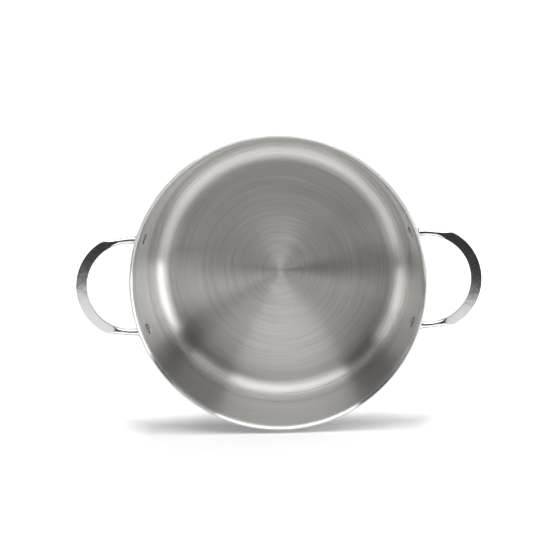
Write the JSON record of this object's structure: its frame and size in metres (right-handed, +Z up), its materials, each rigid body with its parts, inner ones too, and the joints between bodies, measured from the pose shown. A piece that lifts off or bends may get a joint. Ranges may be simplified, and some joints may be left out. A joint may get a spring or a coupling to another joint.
{
  "type": "stew pan",
  "caption": "Wide round stew pan with straight wall, flared pouring rim and a riveted loop handle on each side, for braising and simmering on a hob.",
  "frame": {"origin": "middle of the base's underside, where the pan rests", "axes": "+Z up out of the pan's mouth, +X and -X through the middles of the handles, +Y across them"},
  "size_m": [0.3992, 0.2914, 0.1332],
  "materials": {
    "brushed_inside": "concentric brushed stainless steel",
    "core": "plain aluminium, seen only on the cut rim",
    "satin_outside": "fine satin stainless steel",
    "polished_handle": "cast stainless steel, mirror polished",
    "polished_rivet": "solid stainless steel, polished head"
  },
  "bodies": {
    "root": {"inner_ply": "brushed_inside", "core_ply": "core", "outer_ply": "satin_outside", "handle_left": "polished_handle", "handle_right": "polished_handle", "rivet_left_back": "polished_rivet", "rivet_left_front": "polished_rivet", "rivet_right_back": "polished_rivet", "rivet_right_front": "polished_rivet"}
  },
  "joints": []
}
